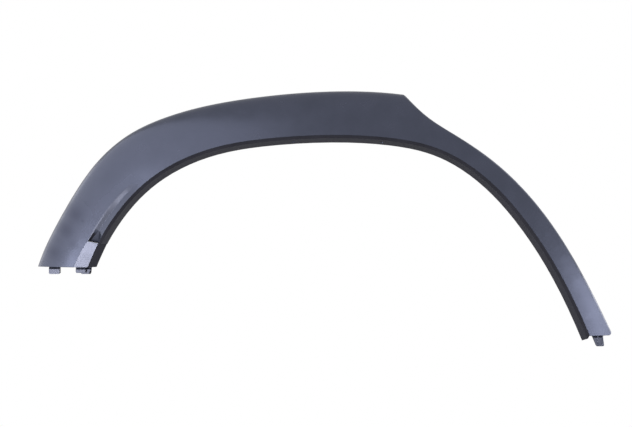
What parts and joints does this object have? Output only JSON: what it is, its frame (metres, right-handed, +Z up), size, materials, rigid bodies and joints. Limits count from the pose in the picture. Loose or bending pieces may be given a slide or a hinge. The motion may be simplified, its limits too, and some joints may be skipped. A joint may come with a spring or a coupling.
{
  "type": "wheel arch trim",
  "caption": "Flared moulded trim for the edge of a car's rear wheel opening, with a return flange, a rolled outer rim, a cut along the door gap and clips on its back.",
  "frame": {"origin": "on the axis of the crown locating pin, where its shoulder meets the body side", "axes": "+X towards the front of the car, to the right in the picture; +Y into the car, along the pin; +Z up"},
  "size_m": [0.9217, 0.0715, 0.407],
  "materials": {
    "grained_plastic": "satin, fine grain"
  },
  "bodies": {
    "root": {"arch_trim": "grained_plastic"}
  },
  "joints": []
}
